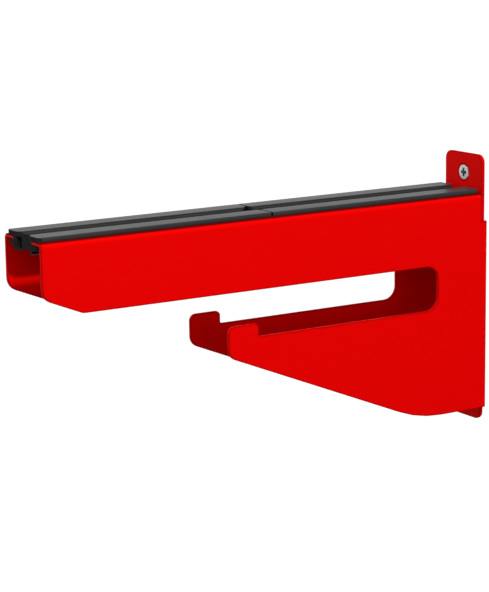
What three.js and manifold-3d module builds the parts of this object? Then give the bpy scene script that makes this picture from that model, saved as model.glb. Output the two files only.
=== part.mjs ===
// Wall rack for skis: one steel sheet folded into a narrow U, with rubber grips on its two rails.
// Millimetres. +Z is up, +Y points into the wall, and the free ends of the rails are at -Y.
// The origin is the middle of the back plate's wall-side face.
import * as THREE from 'three';
import { mergeVertices } from 'three/addons/utils/BufferGeometryUtils.js';
import Module from 'manifold-3d';

const wasm = await Module();
wasm.setup();

// Whole rack
const rackLength = 333;
const rackWidth = 50;
const slotWidth = 11;

// Sheet steel and its bends
const sheetThickness = 2.5;
const innerBendRadius = 1.25;
const reliefSlit = 3.5;

// Side walls, from the rails' top face down
const armDepth = 45;
const windowHeight = 30;
const heelDepth = 72.5;
const noseHeight = 34;
const noseChamferRun = 26.7;
const noseCornerRadius = 9;
const noseChamferRadius = 8;
const windowEndSetback = 42.2;
const windowRadius = 9;

// Hook arms below the window, with a raised lip at the tip
const hookReach = 205.2;
const lipLength = 22.2;
const lipRise = 8.5;
const tipHeight = 19.7;
const lipFootRadius = 1.5;
const lipInnerRadius = 3;
const tipUpperRadius = 4.5;
const tipLowerRadius = 8;
const heelLength = 57.2;
const heelRadius = 90;

// Back plate and its two tabs
const topTabHeight = 25;
const bottomTabHeight = 10;
const bendTopDepth = 19;
const tabInset = 5;
const tabCornerRadius = 5.5;
const upperHoleInset = 13.4;
const lowerHoleInset = 24;

// Rubber grip, a clip with a hollow cushion
const fitClearance = 0.3;
const capThickness = 2.7;
const capInset = 0.05;
const capOuterRadius = 0.7;
const capInnerRadius = 0.5;
const shoulderWidth = 1.3;
const shoulderHeight = 1.7;
const shoulderFall = 1.5;
const cushionRadius = 0.8;
const cushionWall = 1.6;
const cushionFloor = 1.1;
const chamberWidth = 2.5;
const chamberDrop = 0.4;
const chamberRadius = 0.7;
const webThickness = 2.5;
const skirtDepth = 8.8;
const skirtRadius = 1;
const clipThickness = 2.5;
const clipSetback = 1.25;
const clipRadius = 0.8;
const gussetRadius = 2;
const frontNoseLength = 9;
const frontNoseDepth = 6;
const rearNoseLength = 6;
const rearNoseDepth = 3.5;
const jointGap = 1.2;
const railEndGap = 0.3;

// Wall screws, countersunk flush with the plate
const screwDiameter = 5.5;
const screwLength = 16;
const screwTipLength = 4.5;
const holeClearance = 0.4;
const headDiameter = 10;
const headRim = 0.25;
const recessSpan = 5.8;
const recessFloorSpan = 2.4;
const recessArm = 2;
const recessDepth = 2.4;

// Facets and cuts
const facetError = 0.02;
const cutOverrun = 5;
const filletRoomShare = 0.49;
const noseSteps = 10;
const roundSteps = 40;

// Heights and depths that several pieces share
const outerBendRadius = sheetThickness + innerBendRadius;
const plateHeight = topTabHeight + armDepth + windowHeight + heelDepth + bottomTabHeight;
const plateTopZ = plateHeight / 2;
const plateBottomZ = -plateHeight / 2;
const railTopZ = plateTopZ - topTabHeight;
const armUnderZ = railTopZ - armDepth;
const seatZ = armUnderZ - windowHeight;
const heelZ = seatZ - heelDepth;
const freeEndY = -rackLength;
const railEndY = -sheetThickness - reliefSlit;
const cushionProjection = fitClearance + webThickness + chamberWidth + cushionWall;
const flangeWidth = (rackWidth - slotWidth) / 2 - cushionProjection;
const upperHoleZ = plateTopZ - upperHoleInset;
const lowerHoleZ = plateBottomZ + lowerHoleInset;
const headConeY = headRim - sheetThickness;

const redPowderCoat = new THREE.MeshStandardMaterial({ color: 0xd40606, roughness: 0.42, metalness: 0 });
const gripRubber = new THREE.MeshStandardMaterial({ color: 0x3d3d3f, roughness: 0.85, metalness: 0 });
const zincSteel = new THREE.MeshStandardMaterial({ color: 0xc8c6c4, roughness: 0.35, metalness: 0.9 });

const axisX = new THREE.Vector3(1, 0, 0);
const axisY = new THREE.Vector3(0, 1, 0);
const axisZ = new THREE.Vector3(0, 0, 1);

// Points along the arc that rounds one corner. The arc never takes more than its share of an edge.
function cornerPoints(previous, corner, next, radius) {
  const back = previous.clone().sub(corner);
  const ahead = next.clone().sub(corner);
  const room = Math.min(back.length(), ahead.length()) * filletRoomShare;
  back.normalize();
  ahead.normalize();
  const halfAngle = Math.acos(back.dot(ahead)) / 2;
  const setback = Math.min(radius / Math.tan(halfAngle), room);
  if (setback === 0) {
    return [corner];
  }
  const arcRadius = setback * Math.tan(halfAngle);
  const middle = back.clone().add(ahead).normalize();
  const centre = middle.multiplyScalar(arcRadius / Math.sin(halfAngle)).add(corner);
  const start = back.clone().multiplyScalar(setback).add(corner);
  const turn = (Math.PI - 2 * halfAngle) * Math.sign(ahead.cross(back));
  const steps = Math.ceil(Math.abs(turn) / (2 * Math.acos(1 - Math.min(facetError / arcRadius, 1))));
  return Array.from({ length: steps + 1 }, (_, step) => {
    return start.clone().rotateAround(centre, (turn * step) / steps);
  });
}

// A closed outline from corners written as [across, up, radius].
function roundedOutline(corners) {
  const spots = corners.map(([across, up]) => new THREE.Vector2(across, up));
  return corners.flatMap(([, , radius], index) => {
    const next = spots[(index + 1) % spots.length];
    return cornerPoints(spots.at(index - 1), spots[index], next, radius);
  });
}

// Manifold solid of a closed three.js geometry.
function solidOf(geometry) {
  const bare = geometry.index ? geometry.toNonIndexed() : geometry.clone();
  bare.deleteAttribute('normal');
  bare.deleteAttribute('uv');
  const merged = mergeVertices(bare);
  const vertProperties = new Float32Array(merged.attributes.position.array);
  const triVerts = new Uint32Array(merged.index.array);
  return new wasm.Manifold(new wasm.Mesh({ numProp: 3, vertProperties, triVerts }));
}

// Straight prism of a shape between two places along one axis.
function prism(shape, across, up, along, from, to) {
  const geometry = new THREE.ExtrudeGeometry(shape, { depth: to - from, bevelEnabled: false });
  geometry.translate(0, 0, from);
  geometry.applyMatrix4(new THREE.Matrix4().makeBasis(across, up, along));
  return solidOf(geometry);
}

function prismAlongX(shape, from, to) {
  return prism(shape, axisY, axisZ, axisX, from, to);
}

function prismAlongY(shape, from, to) {
  return prism(shape, axisX, axisZ, axisY.clone().negate(), -to, -from);
}

function prismAlongZ(shape, from, to) {
  return prism(shape, axisX, axisY, axisZ, from, to);
}

function meshOf(name, solid, material) {
  const { numProp, vertProperties, triVerts } = solid.getMesh();
  const geometry = new THREE.BufferGeometry();
  const positions = new THREE.InterleavedBuffer(vertProperties, numProp);
  geometry.setAttribute('position', new THREE.InterleavedBufferAttribute(positions, 3, 0));
  geometry.setIndex(new THREE.BufferAttribute(triVerts, 1));
  geometry.computeVertexNormals();
  const mesh = new THREE.Mesh(geometry, material);
  mesh.name = name;
  return mesh;
}

// Outline of both side walls: upper arm, open window, hook arm with its lip, and heel.
function sideOutline() {
  const tipY = -hookReach;
  const lipTopZ = seatZ + lipRise;
  return new THREE.Shape(roundedOutline([
    [freeEndY, railTopZ, 0],
    [freeEndY, railTopZ - noseHeight, noseCornerRadius],
    [freeEndY + noseChamferRun, armUnderZ, noseChamferRadius],
    [-windowEndSetback, armUnderZ, windowRadius],
    [-windowEndSetback, seatZ, windowRadius],
    [tipY + lipLength, seatZ, lipFootRadius],
    [tipY + lipLength, lipTopZ, lipInnerRadius],
    [tipY, lipTopZ, tipUpperRadius],
    [tipY, lipTopZ - tipHeight, tipLowerRadius],
    [-heelLength, heelZ, heelRadius],
    [0, heelZ, 0],
    [0, railTopZ, 0],
  ]));
}

// Wall and top flange in one section, joined by their bend. side is 1 on the right, -1 on the left.
function wallSection(side) {
  const outer = side * rackWidth / 2;
  const inner = outer - side * sheetThickness;
  const flangeEdge = outer - side * flangeWidth;
  return new THREE.Shape(roundedOutline([
    [outer, plateBottomZ, 0],
    [outer, railTopZ, outerBendRadius],
    [flangeEdge, railTopZ, 0],
    [flangeEdge, railTopZ - sheetThickness, 0],
    [inner, railTopZ - sheetThickness, innerBendRadius],
    [inner, plateBottomZ, 0],
  ]));
}

// Plan of the fold at the wall: both walls turn into the back plate.
function foldPlan() {
  const outer = rackWidth / 2;
  const inner = outer - sheetThickness;
  const startY = -windowEndSetback;
  return new THREE.Shape(roundedOutline([
    [outer, startY, 0],
    [outer, 0, outerBendRadius],
    [-outer, 0, outerBendRadius],
    [-outer, startY, 0],
    [-inner, startY, 0],
    [-inner, -sheetThickness, innerBendRadius],
    [inner, -sheetThickness, innerBendRadius],
    [inner, startY, 0],
  ]));
}

function plateOutline() {
  const edge = rackWidth / 2 - tabInset;
  return new THREE.Shape(roundedOutline([
    [edge, plateBottomZ, tabCornerRadius],
    [edge, plateTopZ, tabCornerRadius],
    [-edge, plateTopZ, tabCornerRadius],
    [-edge, plateBottomZ, tabCornerRadius],
  ]));
}

// Solid turned about an axis along Y. The profile is written as [radius, y], with y rising.
function turned(profile, centreZ) {
  const points = profile.map(([radius, y]) => new THREE.Vector2(radius, y));
  const body = new THREE.LatheGeometry(points, roundSteps);
  body.translate(0, 0, centreZ);
  return solidOf(body);
}

// Cutter for a countersunk hole that clears the screw's cone by the fit and its shank by the hole's play.
function screwHole(holeZ) {
  const bore = screwDiameter / 2 + holeClearance;
  const coneRadius = headDiameter / 2 + fitClearance * Math.SQRT2;
  return turned([
    [0, -cutOverrun],
    [coneRadius + headConeY + cutOverrun, -cutOverrun],
    [bore, headConeY + coneRadius - bore],
    [bore, cutOverrun],
    [0, cutOverrun],
  ], holeZ);
}

// One sheet: rails with walls, the fold at the wall and the back plate with its tabs and holes.
function foldedBracket() {
  const rails = prismAlongY(wallSection(1), freeEndY, railEndY)
    .add(prismAlongY(wallSection(-1), freeEndY, railEndY));
  const fold = prismAlongZ(foldPlan(), heelZ, railTopZ - bendTopDepth);
  const reach = rackWidth / 2 + cutOverrun;
  const walls = rails.add(fold).intersect(prismAlongX(sideOutline(), -reach, reach));
  const plate = prismAlongY(plateOutline(), -sheetThickness, 0);
  return walls.add(plate).subtract(screwHole(upperHoleZ)).subtract(screwHole(lowerHoleZ));
}

// Section of a grip: cap on the rail, clip under it, and a hollow cushion along its inner edge.
function gripSection(side) {
  const wallFace = side * rackWidth / 2;
  const webInset = flangeWidth + fitClearance;
  const faceInset = flangeWidth + cushionProjection;
  const clipInset = outerBendRadius + clipSetback;
  const clipTop = railTopZ - sheetThickness - fitClearance;
  const place = (corners) => roundedOutline(corners.map(([inset, z, radius]) => {
    return [wallFace - side * inset, z, radius];
  }));
  const outline = place([
    [outerBendRadius + capInset, railTopZ, 0],
    [outerBendRadius + capInset, railTopZ + capThickness, capOuterRadius],
    [faceInset - shoulderWidth, railTopZ + capThickness, capInnerRadius],
    [faceInset - shoulderWidth, railTopZ + shoulderHeight, 0],
    [faceInset, railTopZ + shoulderHeight - shoulderFall, cushionRadius],
    [faceInset, railTopZ - skirtDepth, cushionRadius],
    [webInset, railTopZ - skirtDepth, skirtRadius],
    [webInset, clipTop - clipThickness, gussetRadius],
    [clipInset, clipTop - clipThickness, clipRadius],
    [clipInset, clipTop, clipRadius],
    [webInset, clipTop, 0],
    [webInset, railTopZ, 0],
  ]);
  const chamber = place([
    [webInset + webThickness, railTopZ - chamberDrop, chamberRadius],
    [webInset + webThickness, railTopZ - skirtDepth + cushionFloor, chamberRadius],
    [faceInset - cushionWall, railTopZ - skirtDepth + cushionFloor, chamberRadius],
    [faceInset - cushionWall, railTopZ - chamberDrop, chamberRadius],
  ]);
  const section = new THREE.Shape(outline);
  section.holes.push(new THREE.Path(chamber));
  return section;
}

// Plan of a grip: a strip whose two corners towards the slot are quarter ellipses.
function gripPlan(side, startY, endY, noseLength, noseDepth) {
  const wallFace = side * rackWidth / 2;
  const face = wallFace - side * (flangeWidth + cushionProjection);
  const nose = Array.from({ length: noseSteps + 1 }, (_, step) => {
    const angle = (Math.PI / 2) * (step / noseSteps);
    return [face + side * noseDepth * (1 - Math.sin(angle)), noseLength * (1 - Math.cos(angle))];
  });
  const startNose = nose.map(([x, along]) => new THREE.Vector2(x, startY + along));
  const endNose = nose.map(([x, along]) => new THREE.Vector2(x, endY - along)).reverse();
  return new THREE.Shape([
    new THREE.Vector2(wallFace, startY),
    ...startNose,
    ...endNose,
    new THREE.Vector2(wallFace, endY),
  ]);
}

function grip(side, startY, endY, noseLength, noseDepth) {
  const strip = prismAlongY(gripSection(side), startY - cutOverrun, endY + cutOverrun);
  const plan = gripPlan(side, startY, endY, noseLength, noseDepth);
  const bottomZ = railTopZ - skirtDepth - cutOverrun;
  const topZ = railTopZ + capThickness + cutOverrun;
  return strip.intersect(prismAlongZ(plan, bottomZ, topZ));
}

// Pointed screw with a flat countersunk head, level with the plate's front face.
function wallScrew(screwZ) {
  const head = headDiameter / 2;
  const shank = screwDiameter / 2;
  const faceY = -sheetThickness;
  const tipY = faceY + screwLength;
  return turned([
    [0, faceY],
    [head, faceY],
    [head, headConeY],
    [shank, headConeY + head - shank],
    [shank, tipY - screwTipLength],
    [0, tipY],
  ], screwZ).subtract(crossRecess(faceY, screwZ));
}

// Cross recess: two tapered blades at right angles.
function crossRecess(topY, screwZ) {
  const mouth = recessSpan / 2;
  const floor = recessFloorSpan / 2;
  const blade = (centre) => new THREE.Shape([
    new THREE.Vector2(centre - mouth, -cutOverrun),
    new THREE.Vector2(centre + mouth, -cutOverrun),
    new THREE.Vector2(centre + mouth, 0),
    new THREE.Vector2(centre + floor, recessDepth),
    new THREE.Vector2(centre - floor, recessDepth),
    new THREE.Vector2(centre - mouth, 0),
  ].map((point) => point.add(new THREE.Vector2(0, topY))));
  const level = prism(blade(0), axisX, axisY, axisZ, screwZ - recessArm / 2, screwZ + recessArm / 2);
  const upright = prism(blade(-screwZ), axisZ.clone().negate(), axisY, axisX, -recessArm / 2, recessArm / 2);
  return level.add(upright);
}

const rack = new THREE.Group();
rack.add(meshOf('folded_bracket', foldedBracket(), redPowderCoat));

const gripLength = (railEndY - freeEndY - railEndGap - jointGap) / 2;
const grips = [
  ['front', freeEndY, frontNoseLength, frontNoseDepth],
  ['rear', freeEndY + gripLength + jointGap, rearNoseLength, rearNoseDepth],
];
for (const [sideName, side] of [['right', 1], ['left', -1]]) {
  for (const [place, startY, noseLength, noseDepth] of grips) {
    const strip = grip(side, startY, startY + gripLength, noseLength, noseDepth);
    rack.add(meshOf(`${sideName}_${place}_grip`, strip, gripRubber));
  }
}

rack.add(meshOf('upper_wall_screw', wallScrew(upperHoleZ), zincSteel));
rack.add(meshOf('lower_wall_screw', wallScrew(lowerHoleZ), zincSteel));

export default rack;
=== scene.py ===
import math

import bmesh
import bpy
from mathutils import Matrix, Vector


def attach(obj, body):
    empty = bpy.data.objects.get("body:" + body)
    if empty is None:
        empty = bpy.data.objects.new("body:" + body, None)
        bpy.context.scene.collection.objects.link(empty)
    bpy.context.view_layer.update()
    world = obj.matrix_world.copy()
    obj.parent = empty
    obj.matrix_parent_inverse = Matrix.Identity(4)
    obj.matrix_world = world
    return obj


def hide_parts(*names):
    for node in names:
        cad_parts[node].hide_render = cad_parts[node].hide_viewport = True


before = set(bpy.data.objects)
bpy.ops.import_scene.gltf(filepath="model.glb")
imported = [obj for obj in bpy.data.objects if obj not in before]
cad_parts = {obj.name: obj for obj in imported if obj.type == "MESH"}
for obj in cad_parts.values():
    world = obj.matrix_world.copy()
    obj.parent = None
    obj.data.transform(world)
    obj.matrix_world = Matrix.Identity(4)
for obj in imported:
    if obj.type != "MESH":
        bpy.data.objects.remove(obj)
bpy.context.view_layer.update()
scene = bpy.context.scene

# Folded bracket. One blank of 2.5 mm sheet steel, cut by laser and folded: each side wall turns in
# along its top as a rail and round at the wall end into the back plate. Its cut edges are broken and
# the whole sheet is powder-coated red.
MM = 0.001
RACK_LENGTH = 333
HALF_WIDTH = 25
SHEET = 2.5
RAIL_TOP = 66.25
RAIL_WIDTH = 12.6
RELIEF_SLIT = 3.5
RAIL_END = -SHEET - RELIEF_SLIT

# Folds, measured at the middle of the sheet.
FOLD_RADIUS = 2.5
FOLD_STEPS = 10
FOLD_PLACE = SHEET / 2 + FOLD_RADIUS
FOLD_X = HALF_WIDTH - FOLD_PLACE
FOLD_LINE = RAIL_TOP - FOLD_PLACE
BEND_TOP_DEPTH = 19
FOLD_TOP = RAIL_TOP - BEND_TOP_DEPTH

# Upper arm with its nose, and the window under it.
ARM_DEPTH = 45
ARM_BOTTOM = RAIL_TOP - ARM_DEPTH
ARM_NOSE_HEIGHT = 34
ARM_NOSE_LENGTH = 26.7
ARM_NOSE_RADIUS = 9
SLANT_RADIUS = 8
WINDOW_HEIGHT = 30
WINDOW_SETBACK = 42.2
WINDOW_RADIUS = 9

# Lower arm with its hook, and the heel at the wall.
HOOK_EDGE = ARM_BOTTOM - WINDOW_HEIGHT
HOOK_REACH = 205.2
LIP_LENGTH = 22.2
LIP_RISE = 8.5
LIP_TOP = HOOK_EDGE + LIP_RISE
LIP_FOOT_RADIUS = 1.5
LIP_RADIUS = 3
TIP_HEIGHT = 19.7
TIP_RADIUS = 4.5
CHIN_RADIUS = 8
HEEL_DEPTH = 72.5
HEEL = HOOK_EDGE - HEEL_DEPTH
HEEL_LENGTH = 57.2
HEEL_RADIUS = 90

# Back plate with its two tabs, and its two holes, which are 90 degree countersinks right through.
TOP_TAB = 25
BOTTOM_TAB = 10
PLATE_TOP = RAIL_TOP + TOP_TAB
PLATE_BOTTOM = HEEL - BOTTOM_TAB
TAB_HALF_WIDTH = 20
TAB_CORNER = 5.5
UPPER_HOLE_INSET = 13.4
LOWER_HOLE_INSET = 24
SCREW_HEIGHTS = (PLATE_TOP - UPPER_HOLE_INSET, PLATE_BOTTOM + LOWER_HOLE_INSET)
HOLE_MOUTH = 5.674
HOLE_STEPS = 48

# Side wall, drawn as distance from the wall, height and corner radius. Its top edge is the fold line.
WALL_CORNERS = (
    (-RACK_LENGTH, FOLD_LINE, 0),
    (-RACK_LENGTH, RAIL_TOP - ARM_NOSE_HEIGHT, ARM_NOSE_RADIUS),
    (-RACK_LENGTH + ARM_NOSE_LENGTH, ARM_BOTTOM, SLANT_RADIUS),
    (-WINDOW_SETBACK, ARM_BOTTOM, WINDOW_RADIUS),
    (-WINDOW_SETBACK, HOOK_EDGE, WINDOW_RADIUS),
    (-HOOK_REACH + LIP_LENGTH, HOOK_EDGE, LIP_FOOT_RADIUS),
    (-HOOK_REACH + LIP_LENGTH, LIP_TOP, LIP_RADIUS),
    (-HOOK_REACH, LIP_TOP, TIP_RADIUS),
    (-HOOK_REACH, LIP_TOP - TIP_HEIGHT, CHIN_RADIUS),
    (-HEEL_LENGTH, HEEL, HEEL_RADIUS),
    (-FOLD_PLACE, HEEL, 0),
    (-FOLD_PLACE, FOLD_TOP, 0),
    (RAIL_END, FOLD_TOP, 0),
    (RAIL_END, FOLD_LINE, 0),
)

# Right half of the back plate's edge, drawn as distance from its middle, height and corner radius.
PLATE_CORNERS = (
    (0, PLATE_TOP, 0),
    (TAB_HALF_WIDTH, PLATE_TOP, TAB_CORNER),
    (TAB_HALF_WIDTH, FOLD_TOP, 0),
    (FOLD_X, FOLD_TOP, 0),
    (FOLD_X, HEEL, 0),
    (TAB_HALF_WIDTH, HEEL, 0),
    (TAB_HALF_WIDTH, PLATE_BOTTOM, TAB_CORNER),
    (0, PLATE_BOTTOM, 0),
)
ARC_STEP = math.radians(7.5)
SEAM_REACH = 0.01


def rounded_outline(corners):
    """Points of a closed outline whose corners (across, up, radius) are turned into arcs."""
    outline = []
    for index, (across, up, radius) in enumerate(corners):
        corner = Vector((across, up))
        back = (Vector(corners[index - 1][:2]) - corner).normalized()
        ahead = (Vector(corners[(index + 1) % len(corners)][:2]) - corner).normalized()
        if radius == 0:
            outline.append(corner)
            continue
        half = back.angle(ahead) / 2
        centre = corner + (back + ahead).normalized() * (radius / math.sin(half))
        start = corner + back * (radius / math.tan(half)) - centre
        hand = 1 if back.x * ahead.y - back.y * ahead.x < 0 else -1
        turn = (math.pi - 2 * half) * hand
        steps = max(2, math.ceil(abs(turn) / ARC_STEP))
        for step in range(steps + 1):
            outline.append(centre + Matrix.Rotation(turn * step / steps, 2) @ start)
    return outline


def plate_half_outline():
    """Right half of the back plate, from the upper hole round its tabs to the lower hole."""
    edge = rounded_outline(PLATE_CORNERS)
    for height in reversed(SCREW_HEIGHTS):
        for step in range(HOLE_STEPS // 2 + 1):
            angle = 2 * math.pi * step / HOLE_STEPS - math.pi / 2
            edge.append(Vector((HOLE_MOUTH * math.cos(angle), height + HOLE_MOUTH * math.sin(angle))))
    return edge


def middle_sheet():
    """The folded blank without thickness, along the middle of the sheet."""
    sheet = bmesh.new()

    def add_face(spots):
        sheet.faces.new([sheet.verts.new(spot) for spot in spots])

    angles = [math.pi / 2 * step / FOLD_STEPS for step in range(FOLD_STEPS + 1)]
    arc = [(FOLD_X + FOLD_RADIUS * math.cos(angle), FOLD_RADIUS * math.sin(angle)) for angle in angles]
    rail = [(x, FOLD_LINE + rise) for x, rise in arc]
    rail.append((HALF_WIDTH - RAIL_WIDTH, FOLD_LINE + FOLD_RADIUS))
    for side in (1, -1):
        add_face([(side * (HALF_WIDTH - SHEET / 2), y, z) for y, z in rounded_outline(WALL_CORNERS)])
        add_face([(side * x, -SHEET / 2, z) for x, z in plate_half_outline()])
        for (x, z), (next_x, next_z) in zip(rail, rail[1:]):
            add_face([
                (side * x, -RACK_LENGTH, z),
                (side * x, RAIL_END, z),
                (side * next_x, RAIL_END, next_z),
                (side * next_x, -RACK_LENGTH, next_z),
            ])
        for (x, rise), (next_x, next_rise) in zip(arc, arc[1:]):
            add_face([
                (side * x, rise - FOLD_PLACE, HEEL),
                (side * x, rise - FOLD_PLACE, FOLD_TOP),
                (side * next_x, next_rise - FOLD_PLACE, FOLD_TOP),
                (side * next_x, next_rise - FOLD_PLACE, HEEL),
            ])
    bmesh.ops.remove_doubles(sheet, verts=sheet.verts, dist=SEAM_REACH)
    bmesh.ops.recalc_face_normals(sheet, faces=sheet.faces)
    bmesh.ops.scale(sheet, vec=(MM, MM, MM), verts=sheet.verts)
    mesh = bpy.data.meshes.new("folded_sheet")
    sheet.to_mesh(mesh)
    sheet.free()
    return mesh


def add_piece(name, mesh):
    """A piece of the scene, at the rack's own origin."""
    piece = bpy.data.objects.new(name, mesh)
    scene.collection.objects.link(piece)
    return piece


def settle(piece):
    """Turns what the piece's modifiers make into its plain mesh."""
    shaped = piece.evaluated_get(bpy.context.evaluated_depsgraph_get())
    mesh = bpy.data.meshes.new_from_object(shaped)
    piece.modifiers.clear()
    piece.data = mesh
    mesh.name = piece.name


bracket = add_piece("red_folded_bracket", middle_sheet())
thicken = bracket.modifiers.new("sheet_thickness", "SOLIDIFY")
thicken.thickness = SHEET * MM
thicken.offset = 0
thicken.use_even_offset = True
thicken.use_quality_normals = True
settle(bracket)

# Points of the sheet round a hole are moved out to its cone, which is narrower at the wall.
HOLE_MARGIN = 1
for vertex in bracket.data.vertices:
    x, y, z = vertex.co / MM
    for height in SCREW_HEIGHTS:
        reach = math.hypot(x, z - height)
        if reach < HOLE_MOUTH + HOLE_MARGIN:
            grow = (HOLE_MOUTH - SHEET - y) / reach
            vertex.co = Vector((x * grow, y, height + (z - height) * grow)) * MM

# Broken edges, whose faces get the second material slot, so that they can be told apart.
EDGE_BREAK = 0.28
EDGE_STEPS = 3
EDGE_ANGLE = 35
soften = bracket.modifiers.new("broken_edges", "BEVEL")
soften.width = EDGE_BREAK * MM
soften.segments = EDGE_STEPS
soften.limit_method = "ANGLE"
soften.angle_limit = math.radians(EDGE_ANGLE)
soften.use_clamp_overlap = False
soften.material = 1
bracket.data.materials.append(None)
bracket.data.materials.append(None)
settle(bracket)

# A narrow border inside the broken edges carries the fade of their darker, rougher coat.
EDGE_BORDER = 0.75
border = bmesh.new()
border.from_mesh(bracket.data)
cut_faces = {face for face in border.faces if face.material_index == 1}


def is_rim(face):
    """Whether a face lies on the cut edge of the sheet, with broken edges on all its sides."""
    beside = {other for edge in face.edges for other in edge.link_faces if other is not face}
    narrow = min(edge.calc_length() for edge in face.edges) < SHEET * MM
    return narrow and face not in cut_faces and beside <= cut_faces


rims = {face for face in border.faces if is_rim(face)}
edge_layer = border.verts.layers.float.new("edge_mark")
for face in cut_faces | rims:
    for vertex in face.verts:
        vertex[edge_layer] = 1
skins = [face for face in border.faces if face not in cut_faces and face not in rims]
bmesh.ops.inset_region(border, faces=skins, thickness=EDGE_BORDER * MM, use_even_offset=True)
for face in skins:
    for vertex in face.verts:
        vertex[edge_layer] = 0
for face in border.faces:
    face.material_index = 0
    face.smooth = True
border.to_mesh(bracket.data)
border.free()
flatten = bracket.modifiers.new("flat_faces_rule", "WEIGHTED_NORMAL")
flatten.weight = 100
settle(bracket)


def link_node(tree, kind, inputs=None, **settings):
    """Adds a node, with its settings, and fills its inputs with values or with other nodes' outputs."""
    node = tree.nodes.new(kind)
    for name, value in settings.items():
        setattr(node, name, value)
    for name, value in (inputs or {}).items():
        if isinstance(value, bpy.types.NodeSocket):
            tree.links.new(value, node.inputs[name])
        else:
            node.inputs[name].default_value = value
    return node


def maths(tree, operation, *values):
    """The result of one sum or comparison."""
    return link_node(tree, "ShaderNodeMath", dict(enumerate(values)), operation=operation).outputs[0]


def split(tree, vector):
    """The X, Y and Z of a vector."""
    return link_node(tree, "ShaderNodeSeparateXYZ", {0: vector}).outputs


def vector_of(tree, **parts):
    """A vector from its X, Y and Z, where those left out are 0."""
    return link_node(tree, "ShaderNodeCombineXYZ", parts).outputs[0]


def blend(tree, share, first, second, kind="RGBA"):
    """The first value at a share of 0, the second at a share of 1."""
    inputs = {"Factor": share, "A": first, "B": second}
    return link_node(tree, "ShaderNodeMix", inputs, data_type=kind).outputs["Result"]


def ranged(tree, value, start=0.0, end=1.0, low=0.0, high=1.0, curve="LINEAR"):
    """Low where the value is at its start, high where it is at its end."""
    return link_node(tree, "ShaderNodeMapRange", {
        "Value": value,
        "From Min": start,
        "From Max": end,
        "To Min": low,
        "To Max": high,
    }, interpolation_type=curve).outputs["Result"]


def noise(tree, place, scale, detail, roughness=0.5):
    """A cloudy pattern from 0 to 1."""
    return link_node(tree, "ShaderNodeTexNoise", {
        "Vector": place,
        "Scale": scale,
        "Detail": detail,
        "Roughness": roughness,
    }).outputs["Fac"]


def bump(tree, height, strength, distance):
    """Normals that follow a fine relief."""
    inputs = {"Height": height, "Strength": strength, "Distance": distance}
    return link_node(tree, "ShaderNodeBump", inputs).outputs["Normal"]


def mesh_mark(tree, name):
    """A number that the mesh carries."""
    return link_node(tree, "ShaderNodeAttribute", attribute_name=name).outputs["Fac"]


def own_place(tree):
    """The place on a piece, in the piece's own coordinates."""
    return link_node(tree, "ShaderNodeTexCoord").outputs["Object"]


def new_finish(name):
    """An empty procedural material and its node tree."""
    finish = bpy.data.materials.new(name)
    finish.use_nodes = True
    finish.node_tree.nodes.clear()
    return finish, finish.node_tree


# The coat is darker and rougher in patches on the broken edges, and a dark line of painted shade lies on
# the rails beside the grips.
RED = (0.72, 0.0010, 0.0008, 1)
RED_DEEP = (0.69, 0.0008, 0.0006, 1)
RED_EDGE = (0.34, 0.0008, 0.0006, 1)
# Dark red of the painted shade on the fold just under the grips' caps.
RED_GRIP_SHADE = (0.085, 0.0012, 0.0010, 1)
RED_GLOSS = (1.0, 0.05, 0.04, 1)
GRIP_SHADE_FROM = 64.8
GRIP_SHADE_FULL = 65.9
PEEL_DEPTH = 0.04

red_coat, tree = new_finish("red_powder_coat")
place = own_place(tree)
drift = noise(tree, place, scale=22, detail=3)
scuffs = noise(tree, place, scale=260, detail=4, roughness=0.7)
patchy = ranged(tree, scuffs, start=0.3, end=0.7, low=0.6)
edge_patches = maths(tree, "MULTIPLY", mesh_mark(tree, "edge_mark"), patchy)
spot = split(tree, place)
# Painted shade: the fold's top under the grips' caps is darkened along the rails.
beside_grip = ranged(tree, spot["Z"], GRIP_SHADE_FROM * MM, GRIP_SHADE_FULL * MM, curve="SMOOTHSTEP")
along_rail = maths(tree, "LESS_THAN", spot["Y"], RAIL_END * MM)
grip_shade = maths(tree, "MULTIPLY", beside_grip, along_rail)
tone = blend(tree, drift, RED, RED_DEEP)
tone = blend(tree, edge_patches, tone, RED_EDGE)
tone = blend(tree, grip_shade, tone, RED_GRIP_SHADE)
peel = noise(tree, place, scale=900, detail=2, roughness=0.6)
gloss = ranged(tree, peel, low=0.42, high=0.54)
shader = link_node(tree, "ShaderNodeBsdfPrincipled", {
    "Base Color": tone,
    "Roughness": blend(tree, edge_patches, gloss, 0.8, kind="FLOAT"),
    "Specular IOR Level": 0.02,
    "Specular Tint": RED_GLOSS,
    "Normal": bump(tree, peel, strength=0.3, distance=PEEL_DEPTH * MM),
})
link_node(tree, "ShaderNodeOutputMaterial", {"Surface": shader.outputs["BSDF"]})
bracket.data.materials.clear()
bracket.data.materials.append(red_coat)
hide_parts("folded_bracket")
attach(bracket, "root")

# Rubber grips. Four equal lengths of one extruded rubber profile, clipped over the rails: a flat cap on
# top, a lip under the rail and a hollow cushion towards the slot. Their ends are cut round at the slot,
# and a little at the outer corner of the open end. The left ones are the same strip turned about.
SLOT_HALF = 5.5
FIT = 0.3
JOINT_GAP = 1.2
RAIL_END_GAP = 0.3
GRIP_LENGTH = (RACK_LENGTH + RAIL_END - RAIL_END_GAP - JOINT_GAP) / 2
GRIP_MIDDLES = {
    "front": -RACK_LENGTH + GRIP_LENGTH / 2,
    "rear": RAIL_END - RAIL_END_GAP - GRIP_LENGTH / 2,
}

# Round cuts of the ends: at the slot as length along the rail and depth across it, and at the outer
# corners of the open ends and of the joint. The block that cuts them is wider than the cap by a hair.
GRIP_NOSES = {"front": (9, 6), "rear": (6, 3.5)}
GRIP_OUTER_CORNERS = {"front": 2.6, "rear": 1.2}
JOINT_CORNER = 0.3
CUTTER_SPARE = 0.05
CUTTER_HEIGHT = 160

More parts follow.
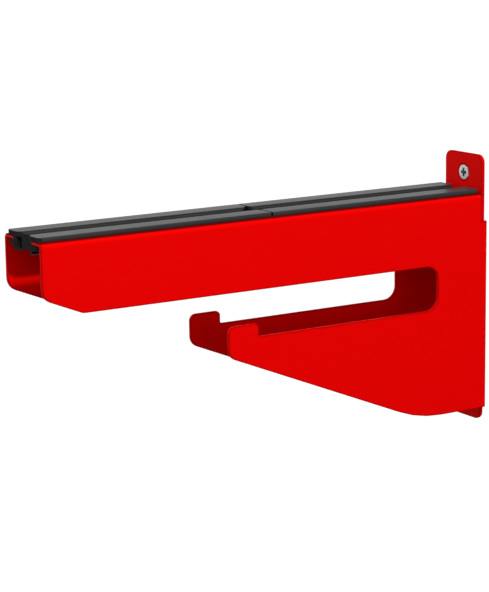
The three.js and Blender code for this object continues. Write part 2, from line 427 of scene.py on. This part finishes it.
# Section of the right rail's strip, drawn as distance from the middle, height and corner radius.
CAP_INSET = 3.8
CAP_THICKNESS = 2.7
CAP_OUTER_RADIUS = 0.7
CAP_INNER_RADIUS = 0.5
SHOULDER_WIDTH = 1.3
SHOULDER_HEIGHT = 1.7
SHOULDER_FALL = 1.5
SKIRT_DEPTH = 8.8
CUSHION_WALL = 1.6
CUSHION_FLOOR = 1.1
CUSHION_RADIUS = 0.8
WEB_RADIUS = 1
GUSSET_RADIUS = 2
CLIP_THICKNESS = 2.5
CLIP_INSET = 5
CLIP_RADIUS = 0.8
CHAMBER_WIDTH = 2.5
CHAMBER_DROP = 0.4
CHAMBER_RADIUS = 0.7
CAP_SIDE = HALF_WIDTH - CAP_INSET
CUTTER_WIDTH = CAP_SIDE - SLOT_HALF + CUTTER_SPARE
CAP_TOP = RAIL_TOP + CAP_THICKNESS
SHOULDER_SIDE = SLOT_HALF + SHOULDER_WIDTH
SHOULDER_TOP = RAIL_TOP + SHOULDER_HEIGHT
SHOULDER_FOOT = SHOULDER_TOP - SHOULDER_FALL
SKIRT_BOTTOM = RAIL_TOP - SKIRT_DEPTH
WEB_SIDE = HALF_WIDTH - RAIL_WIDTH - FIT
CLIP_SIDE = HALF_WIDTH - CLIP_INSET
CLIP_TOP = RAIL_TOP - SHEET - FIT
CLIP_BOTTOM = CLIP_TOP - CLIP_THICKNESS
CHAMBER_INNER = SLOT_HALF + CUSHION_WALL
CHAMBER_OUTER = CHAMBER_INNER + CHAMBER_WIDTH
CHAMBER_TOP = RAIL_TOP - CHAMBER_DROP
CHAMBER_BOTTOM = SKIRT_BOTTOM + CUSHION_FLOOR
PROFILE_CORNERS = (
    (CAP_SIDE, RAIL_TOP, 0),
    (CAP_SIDE, CAP_TOP, CAP_OUTER_RADIUS),
    (SHOULDER_SIDE, CAP_TOP, CAP_INNER_RADIUS),
    (SHOULDER_SIDE, SHOULDER_TOP, 0),
    (SLOT_HALF, SHOULDER_FOOT, CUSHION_RADIUS),
    (SLOT_HALF, SKIRT_BOTTOM, CUSHION_RADIUS),
    (WEB_SIDE, SKIRT_BOTTOM, WEB_RADIUS),
    (WEB_SIDE, CLIP_BOTTOM, GUSSET_RADIUS),
    (CLIP_SIDE, CLIP_BOTTOM, CLIP_RADIUS),
    (CLIP_SIDE, CLIP_TOP, CLIP_RADIUS),
    (WEB_SIDE, CLIP_TOP, 0),
    (WEB_SIDE, RAIL_TOP, 0),
)
CHAMBER_CORNERS = (
    (CHAMBER_OUTER, CHAMBER_TOP, CHAMBER_RADIUS),
    (CHAMBER_OUTER, CHAMBER_BOTTOM, CHAMBER_RADIUS),
    (CHAMBER_INNER, CHAMBER_BOTTOM, CHAMBER_RADIUS),
    (CHAMBER_INNER, CHAMBER_TOP, CHAMBER_RADIUS),
)


def profile_loops():
    """The grip's section as two closed loops of edges, with each corner's radius as an attribute."""
    corners = PROFILE_CORNERS + CHAMBER_CORNERS
    edges = []
    for first, count in ((0, len(PROFILE_CORNERS)), (len(PROFILE_CORNERS), len(CHAMBER_CORNERS))):
        edges += [(first + step, first + (step + 1) % count) for step in range(count)]
    mesh = bpy.data.meshes.new("grip_profile")
    mesh.from_pydata([(x * MM, z * MM, 0) for x, z, _ in corners], edges, [])
    corner_radius = mesh.attributes.new("corner_radius", "FLOAT", "POINT")
    for index, corner in enumerate(corners):
        corner_radius.data[index].value = corner[2] * MM
    return mesh


def new_shape_tree(name, sizes):
    """An empty geometry tree with named size inputs. Returns it, their sockets and their identifiers."""
    tree = bpy.data.node_groups.new(name, "GeometryNodeTree")
    tree.interface.new_socket(name="Geometry", in_out="INPUT", socket_type="NodeSocketGeometry")
    plugs = {}
    for size in sizes:
        socket = tree.interface.new_socket(name=size, in_out="INPUT", socket_type="NodeSocketFloat")
        plugs[size] = socket.identifier
    tree.interface.new_socket(name="Geometry", in_out="OUTPUT", socket_type="NodeSocketGeometry")
    return tree, tree.nodes.new("NodeGroupInput").outputs, plugs


WELD = 1e-6


def spot_of(tree):
    """Where each point of the geometry is."""
    return split(tree, link_node(tree, "GeometryNodeInputPosition").outputs[0])


def weld(tree, geometry, distance):
    """Geometry whose points closer than a distance are made one."""
    inputs = {"Geometry": geometry, "Distance": distance}
    return link_node(tree, "GeometryNodeMergeByDistance", inputs).outputs["Geometry"]


def moved(tree, geometry, **changes):
    """Geometry with a Translation, Rotation or Scale."""
    inputs = {"Geometry": geometry, **changes}
    return link_node(tree, "GeometryNodeTransform", inputs).outputs["Geometry"]


def filled(tree, outline, radius, steps):
    """The flat face inside an outline whose corners are rounded."""
    inputs = {"Curve": outline, "Count": steps, "Radius": radius}
    rounded = link_node(tree, "GeometryNodeFilletCurve", inputs, mode="POLY").outputs["Curve"]
    return link_node(tree, "GeometryNodeFillCurve", {"Curve": rounded}, mode="TRIANGLES").outputs["Mesh"]


def solid_from_face(tree, face, depth):
    """A flat face pushed up along Z to a closed solid."""
    sides = link_node(tree, "GeometryNodeExtrudeMesh", {
        "Mesh": face,
        "Offset": vector_of(tree, Z=depth),
        "Offset Scale": 1,
        "Individual": False,
    })
    underside = link_node(tree, "GeometryNodeFlipFaces", {"Mesh": face})
    both = link_node(tree, "GeometryNodeJoinGeometry", {"Geometry": sides.outputs["Mesh"]})
    tree.links.new(underside.outputs["Mesh"], both.inputs["Geometry"])
    return weld(tree, both.outputs["Geometry"], WELD)


def mark_faces(tree, geometry, name, value):
    """Geometry whose faces carry a number under a name."""
    return link_node(tree, "GeometryNodeStoreNamedAttribute", {
        "Geometry": geometry,
        "Name": name,
        "Value": value,
    }, data_type="FLOAT", domain="FACE").outputs["Geometry"]


def shade_by_angle(tree, geometry, degrees):
    """Smooth faces, with creases kept sharp."""
    inputs = {"Geometry": geometry, "Shade Smooth": True}
    smooth = link_node(tree, "GeometryNodeSetShadeSmooth", inputs, domain="FACE")
    angle = link_node(tree, "GeometryNodeInputMeshEdgeAngle").outputs["Unsigned Angle"]
    inputs = {"A": angle, "B": math.radians(degrees)}
    crease = link_node(tree, "FunctionNodeCompare", inputs, data_type="FLOAT", operation="GREATER_THAN")
    return link_node(tree, "GeometryNodeSetShadeSmooth", {
        "Geometry": smooth.outputs["Geometry"],
        "Selection": crease.outputs["Result"],
        "Shade Smooth": False,
    }, domain="EDGE").outputs["Geometry"]


def close_tree(tree, geometry, finish):
    """Gives the geometry its material and hands it out of the tree."""
    real = link_node(tree, "GeometryNodeRealizeInstances", {"Geometry": geometry})
    inputs = {"Geometry": real.outputs["Geometry"], "Material": finish}
    coated = link_node(tree, "GeometryNodeSetMaterial", inputs)
    link_node(tree, "NodeGroupOutput", {"Geometry": coated.outputs["Geometry"]})


def shape(name, base, tree, plugs, sizes):
    """Runs a geometry tree on a base mesh and keeps the result as a plain piece."""
    piece = add_piece(name, base)
    modifier = piece.modifiers.new("shape", "NODES")
    modifier.node_group = tree
    for size, value in sizes.items():
        modifier[plugs[size]] = value
    settle(piece)
    return piece


# The rubber shines dully where it was drawn through its die and is matt where a knife cut it. Painted
# shade darkens it along the cap's foot, and deep in the slot it takes the cut ends' darker, matt skin as
# painted shade.
RUBBER = (0.018, 0.018, 0.019, 1)
RUBBER_PALE = (0.028, 0.028, 0.029, 1)
RUBBER_CUT = (0.012, 0.012, 0.013, 1)
RUBBER_FOOT_SHADE = (0.009, 0.008, 0.008, 1)
DRAWN_STRETCH = (1, 0.012, 1)
DRAWN_DEPTH = 0.05
FOOT_SHADE_BELOW = 66.4
FOOT_SHADE_ENDS_ABOVE = 67.8
SLOT_SHADE_WITHIN = 6.4
SLOT_SHADE_ENDS_BEYOND = 7.0
SLOT_SHADE_BELOW = 66.0
SLOT_SHADE_ENDS_ABOVE = 67.9

rubber, tree = new_finish("grip_rubber")
place = own_place(tree)
drawn = link_node(tree, "ShaderNodeMapping", {"Vector": place, "Scale": DRAWN_STRETCH})
lines = noise(tree, drawn.outputs["Vector"], scale=1500, detail=3)
grain = noise(tree, place, scale=2400, detail=2)
dust = noise(tree, place, scale=45, detail=5, roughness=0.65)
skin = bump(tree, maths(tree, "ADD", lines, grain), strength=0.35, distance=DRAWN_DEPTH * MM)
spot = split(tree, place)
# Painted shade: the rubber darkens towards the foot of the cap.
low = ranged(tree, spot["Z"], FOOT_SHADE_BELOW * MM, FOOT_SHADE_ENDS_ABOVE * MM, 1.0, 0.0, curve="SMOOTHSTEP")
tone = blend(tree, dust, RUBBER, RUBBER_PALE)
tone = blend(tree, low, tone, RUBBER_FOOT_SHADE)
drawn_skin = link_node(tree, "ShaderNodeBsdfPrincipled", {
    "Base Color": tone,
    "Roughness": ranged(tree, dust, low=0.34, high=0.46),
    "Specular IOR Level": 0.15,
    "Normal": skin,
})
cut_end_and_slot_shade_skin = link_node(tree, "ShaderNodeBsdfPrincipled", {
    "Base Color": blend(tree, grain, RUBBER_CUT, RUBBER),
    "Roughness": 0.9,
    "Specular IOR Level": 0.03,
    "Normal": skin,
})
# Painted shade: deep in the slot the rubber takes the darker, matt skin of the cut ends.
aside = maths(tree, "ABSOLUTE", spot["X"])
slot_side = ranged(tree, aside, SLOT_SHADE_WITHIN * MM, SLOT_SHADE_ENDS_BEYOND * MM, 1.0, 0.0)
deep = ranged(tree, spot["Z"], SLOT_SHADE_BELOW * MM, SLOT_SHADE_ENDS_ABOVE * MM, 1.0, 0.0)
slot_shade = maths(tree, "MULTIPLY", slot_side, deep)
shader = link_node(tree, "ShaderNodeMixShader", {
    "Fac": maths(tree, "MAXIMUM", mesh_mark(tree, "knife_cut"), slot_shade),
    1: drawn_skin.outputs["BSDF"],
    2: cut_end_and_slot_shade_skin.outputs["BSDF"],
})
link_node(tree, "ShaderNodeOutputMaterial", {"Surface": shader.outputs["Shader"]})

# Shape of a strip. The section is extruded and laid along the rail, then cut by a block whose plan has
# the ends' round corners. Faces that look along the strip are marked as cut.
SECTION_ARC_STEPS = 6
PLAN_ARC_STEPS = 16
CUT_LEAN = 0.2
RUBBER_CREASE = 35

strip_tree, given, strip_plugs = new_shape_tree("clip_on_strip", (
    "Length",
    "Middle",
    "Turn",
    "Nose Length",
    "Nose Depth",
    "Slot Half Width",
    "Cutter Width",
    "Outer Corner",
    "Open End",
    "Cutter Height",
))
tree = strip_tree
section = link_node(tree, "GeometryNodeMeshToCurve", {"Mesh": given["Geometry"]}).outputs["Curve"]
bend = link_node(tree, "GeometryNodeInputNamedAttribute", {"Name": "corner_radius"}, data_type="FLOAT")
section_face = filled(tree, section, bend.outputs["Attribute"], SECTION_ARC_STEPS)
laid = moved(
    tree,
    solid_from_face(tree, section_face, given["Length"]),
    Translation=vector_of(tree, Y=maths(tree, "MULTIPLY", given["Length"], 0.5)),
    Rotation=(math.pi / 2, 0, 0),
)
stretch = maths(tree, "DIVIDE", given["Nose Length"], given["Nose Depth"])
plan = link_node(tree, "GeometryNodeCurvePrimitiveQuadrilateral", {
    "Width": given["Cutter Width"],
    "Height": maths(tree, "DIVIDE", given["Length"], stretch),
}, mode="RECTANGLE")
corner = spot_of(tree)
outer_side = maths(tree, "GREATER_THAN", corner["X"], 0.0)
to_open_end = maths(tree, "MULTIPLY", corner["Y"], given["Open End"])
at_open_end = maths(tree, "GREATER_THAN", to_open_end, 0.0)
outer_radius = blend(tree, at_open_end, JOINT_CORNER * MM, given["Outer Corner"], kind="FLOAT")
plan_radius = blend(tree, outer_side, given["Nose Depth"], outer_radius, kind="FLOAT")
plan_face = filled(tree, plan.outputs["Curve"], plan_radius, PLAN_ARC_STEPS)
half_plan = maths(tree, "MULTIPLY", given["Cutter Width"], 0.5)
cutter = moved(
    tree,
    solid_from_face(tree, plan_face, given["Cutter Height"]),
    Translation=vector_of(tree, X=maths(tree, "ADD", half_plan, given["Slot Half Width"])),
    Scale=vector_of(tree, X=1, Y=stretch, Z=1),
)
inputs = {"Mesh 2": laid}
cut_strip = link_node(tree, "GeometryNodeMeshBoolean", inputs, operation="INTERSECT", solver="EXACT")
tree.links.new(cutter, cut_strip.inputs["Mesh 2"])
in_place = moved(
    tree,
    weld(tree, cut_strip.outputs["Mesh"], WELD),
    Translation=vector_of(tree, Y=given["Middle"]),
    Rotation=vector_of(tree, Z=given["Turn"]),
)
facing = split(tree, link_node(tree, "GeometryNodeInputNormal").outputs[0])
is_cut = maths(tree, "GREATER_THAN", maths(tree, "ABSOLUTE", facing["Y"]), CUT_LEAN)
marked = mark_faces(tree, in_place, "knife_cut", is_cut)
close_tree(tree, shade_by_angle(tree, marked, RUBBER_CREASE), rubber)

for side, turn in (("right", 0.0), ("left", math.pi)):
    for end, middle in GRIP_MIDDLES.items():
        nose_length, nose_depth = GRIP_NOSES[end]
        open_towards = -1.0 if end == "front" else 1.0
        strip = shape(f"{side}_{end}_rubber_strip", profile_loops(), strip_tree, strip_plugs, {
            "Length": GRIP_LENGTH * MM,
            "Middle": middle * MM,
            "Turn": turn,
            "Nose Length": nose_length * MM,
            "Nose Depth": nose_depth * MM,
            "Slot Half Width": SLOT_HALF * MM,
            "Cutter Width": CUTTER_WIDTH * MM,
            "Outer Corner": GRIP_OUTER_CORNERS[end] * MM,
            "Open End": open_towards * math.cos(turn),
            "Cutter Height": CUTTER_HEIGHT * MM,
        })
        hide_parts(f"{side}_{end}_grip")
        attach(strip, "root")

# Wall screws. Zinc-plated 5.5 mm steel screws with flat countersunk heads and a cross recess, driven
# through the plate's two holes until the head is level with the sheet.
SCREW_RADIUS = 2.75
SCREW_LENGTH = 16
SCREW_TIP = 4.5
HEAD_RADIUS = 5
HEAD_RIM = 0.25
HEAD_EDGE_WIDTH = 0.12
HEAD_EDGE_DEPTH = 0.1
THREAD_PITCH = 2.0
THREAD_DEPTH = 0.75
THREAD_START = 4.0
THREAD_FULL = 5.5
THREAD_STEEPNESS = 2.2
THREAD_CORE_SHARE = 0.3
RECESS_SPAN = 5.8
RECESS_FLOOR = 2.4
RECESS_ARM = 2
RECESS_DEPTH = 2.4
ROUND_STEPS = 48
LENGTH_POINTS = 240
SCREW_WELD = 2e-6
SCREW_CREASE = 40

ZINC = (0.60, 0.59, 0.57, 1)
ZINC_DULL = (0.38, 0.375, 0.37, 1)
ZINC_RECESS_SHADE = (0.085, 0.10, 0.105, 1)
PLATING_DEPTH = 0.03

zinc, tree = new_finish("zinc_steel")
place = own_place(tree)
cloud = noise(tree, place, scale=420, detail=5, roughness=0.6)
fine = noise(tree, place, scale=3000, detail=2)
tone = blend(tree, cloud, ZINC, ZINC_DULL)
shader = link_node(tree, "ShaderNodeBsdfPrincipled", {
    # Painted shade: the faces of the cross recess are darkened.
    "Base Color": blend(tree, mesh_mark(tree, "punched"), tone, ZINC_RECESS_SHADE),
    "Metallic": 1.0,
    "Roughness": ranged(tree, cloud, low=0.3, high=0.5),
    "Normal": bump(tree, fine, strength=0.25, distance=PLATING_DEPTH * MM),
})
link_node(tree, "ShaderNodeOutputMaterial", {"Surface": shader.outputs["BSDF"]})


def screw_profile():
    """Half section of the screw from its face to its point, as radius and distance along the axis."""
    spots = [
        (0, 0),
        (HEAD_RADIUS - HEAD_EDGE_WIDTH, 0),
        (HEAD_RADIUS, HEAD_EDGE_DEPTH),
        (HEAD_RADIUS, HEAD_RIM),
        (SCREW_RADIUS, HEAD_RIM + HEAD_RADIUS - SCREW_RADIUS),
        (SCREW_RADIUS, SCREW_LENGTH - SCREW_TIP),
        (0, SCREW_LENGTH),
    ]
    mesh = bpy.data.meshes.new("screw_profile")
    edges = [(step, step + 1) for step in range(len(spots) - 1)]
    mesh.from_pydata([(across * MM, along * MM, 0) for across, along in spots], edges, [])
    return mesh


screw_tree, given, screw_plugs = new_shape_tree("threaded_screw", (
    "Height",
    "Face Depth",
    "Pitch",
    "Thread Depth",
    "Thread Start",
    "Thread Full",
    "Recess Span",
    "Recess Floor",
    "Recess Arm",
    "Recess Depth",
))
tree = screw_tree

# Shank and head. A grid is wound round the axis at the half section's radius, and the thread sinks a
# winding valley into it.
half_section = link_node(tree, "GeometryNodeMeshToCurve", {"Mesh": given["Geometry"]}).outputs["Curve"]
grid = link_node(tree, "GeometryNodeMeshGrid", {
    "Size X": 1,
    "Size Y": 1,
    "Vertices X": ROUND_STEPS + 1,
    "Vertices Y": LENGTH_POINTS,
})
spot = spot_of(tree)
turn_share = maths(tree, "ADD", spot["X"], 0.5)
run_share = maths(tree, "ADD", spot["Y"], 0.5)
inputs = {"Curves": half_section, "Factor": run_share}
sample = link_node(tree, "GeometryNodeSampleCurve", inputs, mode="FACTOR", use_all_curves=True)
on_section = split(tree, sample.outputs["Position"])
radius = on_section["X"]
along = on_section["Y"]
windings = maths(tree, "SUBTRACT", maths(tree, "DIVIDE", along, given["Pitch"]), turn_share)
phase = maths(tree, "FRACT", windings)
ridge = maths(tree, "ABSOLUTE", maths(tree, "SUBTRACT", maths(tree, "MULTIPLY", phase, 2), 1))
flank = maths(tree, "MULTIPLY", maths(tree, "SUBTRACT", 1, ridge), THREAD_STEEPNESS)
valley = maths(tree, "MINIMUM", flank, 1)
begun = ranged(tree, along, given["Thread Start"], given["Thread Full"], curve="SMOOTHSTEP")
sink = maths(tree, "MULTIPLY", maths(tree, "MULTIPLY", valley, begun), given["Thread Depth"])
sink = maths(tree, "MINIMUM", sink, maths(tree, "MULTIPLY", radius, THREAD_CORE_SHARE))
threaded = maths(tree, "MAXIMUM", maths(tree, "SUBTRACT", radius, sink), 0)
angle = maths(tree, "MULTIPLY", turn_share, 2 * math.pi)
spun = vector_of(
    tree,
    X=maths(tree, "MULTIPLY", threaded, maths(tree, "COSINE", angle)),
    Y=along,
    Z=maths(tree, "MULTIPLY", threaded, maths(tree, "SINE", angle)),
)
wound = link_node(tree, "GeometryNodeSetPosition", {"Geometry": grid.outputs["Mesh"], "Position": spun})
body = weld(tree, wound.outputs["Geometry"], SCREW_WELD)

# Cross recess. Two tapered blades at right angles are taken out of the head.
blade_size = vector_of(
    tree,
    X=given["Recess Span"],
    Y=maths(tree, "MULTIPLY", given["Recess Depth"], 2),
    Z=given["Recess Arm"],
)
inputs = {"Size": blade_size, "Vertices X": 2, "Vertices Y": 3, "Vertices Z": 2}
block = link_node(tree, "GeometryNodeMeshCube", inputs)
spot = spot_of(tree)
floor_share = maths(tree, "DIVIDE", given["Recess Floor"], given["Recess Span"])
taper = ranged(tree, spot["Y"], 0.0, given["Recess Depth"], 1.0, floor_share)
tapered = link_node(tree, "GeometryNodeSetPosition", {
    "Geometry": block.outputs["Mesh"],
    "Position": vector_of(tree, X=maths(tree, "MULTIPLY", spot["X"], taper), Y=spot["Y"], Z=spot["Z"]),
})
blade = mark_faces(tree, tapered.outputs["Geometry"], "punched", 1.0)
crossed = moved(tree, blade, Rotation=(0, math.pi / 2, 0))
inputs = {"Mesh 1": body, "Mesh 2": blade}
recessed = link_node(tree, "GeometryNodeMeshBoolean", inputs, operation="DIFFERENCE", solver="EXACT")
tree.links.new(crossed, recessed.inputs["Mesh 2"])
home = vector_of(tree, Y=given["Face Depth"], Z=given["Height"])
seated = moved(tree, recessed.outputs["Mesh"], Translation=home)
close_tree(tree, shade_by_angle(tree, seated, SCREW_CREASE), zinc)


def face_outwards(mesh):
    """Turns all faces of a closed mesh outwards."""
    outward = bmesh.new()
    outward.from_mesh(mesh)
    bmesh.ops.recalc_face_normals(outward, faces=outward.faces)
    outward.to_mesh(mesh)
    outward.free()


for level, height in zip(("upper", "lower"), SCREW_HEIGHTS):
    screw = shape(f"{level}_countersunk_screw", screw_profile(), screw_tree, screw_plugs, {
        "Height": height * MM,
        "Face Depth": -SHEET * MM,
        "Pitch": THREAD_PITCH * MM,
        "Thread Depth": THREAD_DEPTH * MM,
        "Thread Start": THREAD_START * MM,
        "Thread Full": THREAD_FULL * MM,
        "Recess Span": RECESS_SPAN * MM,
        "Recess Floor": RECESS_FLOOR * MM,
        "Recess Arm": RECESS_ARM * MM,
        "Recess Depth": RECESS_DEPTH * MM,
    })
    face_outwards(screw.data)
    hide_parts(f"{level}_wall_screw")
    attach(screw, "root")

# Studio. A plain pale floor well below the rack, a small lamp and a sun from the right and above, weak
# fill from the front, the right and the left, and a white surround.
FLOOR_DROP = 1.5
FLOOR_REACH = 40
FLOOR_GLOW = 0.7
FLOOR_GREY = (0.5, 0.5, 0.5, 1)
SKY_BEHIND = 0.74
SKY_AHEAD = 0.08


def seen_rays(tree):
    """1 for what the camera, a mirror or a glass sees, and 0 for light that falls on something."""
    path = link_node(tree, "ShaderNodeLightPath").outputs
    seen = maths(tree, "MAXIMUM", path["Is Camera Ray"], path["Is Glossy Ray"])
    return maths(tree, "MAXIMUM", seen, path["Is Transmission Ray"])


floor_mesh = bpy.data.meshes.new("floor")
floor_mesh.from_pydata([
    (-FLOOR_REACH, -FLOOR_REACH, -FLOOR_DROP),
    (FLOOR_REACH, -FLOOR_REACH, -FLOOR_DROP),
    (FLOOR_REACH, FLOOR_REACH, -FLOOR_DROP),
    (-FLOOR_REACH, FLOOR_REACH, -FLOOR_DROP),
], [], [(0, 1, 2, 3)])
floor = add_piece("floor", floor_mesh)
pale, tree = new_finish("pale_floor")
lift = maths(tree, "MULTIPLY", seen_rays(tree), FLOOR_GLOW)
glow = link_node(tree, "ShaderNodeEmission", {"Strength": lift})
chalk = link_node(tree, "ShaderNodeBsdfDiffuse", {"Color": FLOOR_GREY})
both = link_node(tree, "ShaderNodeAddShader", {0: glow.outputs[0], 1: chalk.outputs[0]})
link_node(tree, "ShaderNodeOutputMaterial", {"Surface": both.outputs[0]})
floor_mesh.materials.append(pale)

world = bpy.data.worlds.new("studio")
scene.world = world
world.use_nodes = True
tree = world.node_tree
tree.nodes.clear()
aim = split(tree, link_node(tree, "ShaderNodeTexCoord").outputs["Generated"])
shade = ranged(tree, aim["Y"], -1, 1, SKY_BEHIND, SKY_AHEAD)
strength = blend(tree, seen_rays(tree), shade, 1.0, kind="FLOAT")
sky = link_node(tree, "ShaderNodeBackground", {"Color": (1, 1, 1, 1), "Strength": strength})
link_node(tree, "ShaderNodeOutputWorld", {"Surface": sky.outputs[0]})


def direction(azimuth, height):
    """A way in degrees. An azimuth of 0 is +Y and one of 90 is +X, and a height of 90 is +Z."""
    turn = math.radians(azimuth)
    rise = math.radians(height)
    return Vector((math.sin(turn) * math.cos(rise), math.cos(turn) * math.cos(rise), math.sin(rise)))


def add_lamp(name, kind, azimuth, height):
    """A lamp that shines from a direction. Returns its light and its stand."""
    light = bpy.data.lights.new(name, kind)
    stand = bpy.data.objects.new(name, light)
    stand.rotation_euler = direction(azimuth, height).to_track_quat("Z", "Y").to_euler()
    scene.collection.objects.link(stand)
    return light, stand


def near_lamp(name, azimuth, height, distance, width, strength):
    """A round lamp near the rack and aimed at its middle. Its strength is the light that arrives there."""
    light, stand = add_lamp(name, "AREA", azimuth, height)
    light.shape = "DISK"
    light.size = width
    light.energy = strength * math.pi * distance ** 2
    rack_middle = Vector((0, -RACK_LENGTH * MM / 2, 0))
    stand.location = rack_middle + direction(azimuth, height) * distance


def far_lamp(name, azimuth, height, spread, strength):
    """A far lamp, which lights the floor as evenly as the rack."""
    light, stand = add_lamp(name, "SUN", azimuth, height)
    light.energy = strength
    light.angle = math.radians(spread)


near_lamp("side_lamp", azimuth=100, height=51, distance=1.2, width=0.07, strength=1.75)
near_lamp("front_fill", azimuth=170, height=45, distance=2.0, width=0.6, strength=0.25)
far_lamp("side_sun", azimuth=92, height=51, spread=3, strength=0.95)
far_lamp("right_fill", azimuth=90, height=4, spread=30, strength=0.5)
far_lamp("left_fill", azimuth=268, height=0, spread=20, strength=1.4)

# Camera, at the place and with the lens that the photograph's own lines give. It looks towards the
# left of +Y and down, with a slight roll.
CAMERA_PLACE = (1.0997, -0.85078, 0.27296)
CAMERA_AZIMUTH = -58.5438
CAMERA_HEIGHT = -11.4148
CAMERA_ROLL = math.radians(-0.8105)
CAMERA_LENS = 151.104
CAMERA_SENSOR = 36
CAMERA_SIGHT = 200

look = direction(CAMERA_AZIMUTH, CAMERA_HEIGHT)
level_right = direction(CAMERA_AZIMUTH + 90, 0)
level_up = level_right.cross(look)
right = math.cos(CAMERA_ROLL) * level_right + math.sin(CAMERA_ROLL) * level_up
up = -math.sin(CAMERA_ROLL) * level_right + math.cos(CAMERA_ROLL) * level_up
lens = bpy.data.cameras.new("camera")
lens.sensor_fit = "HORIZONTAL"
lens.sensor_width = CAMERA_SENSOR
lens.lens = CAMERA_LENS
lens.clip_end = CAMERA_SIGHT
camera = bpy.data.objects.new("camera", lens)
camera.matrix_world = Matrix.Translation(CAMERA_PLACE) @ Matrix((right, up, -look)).transposed().to_4x4()
scene.collection.objects.link(camera)
scene.camera = camera
scene.view_settings.view_transform = "Standard"

bpy.context.view_layer.update()
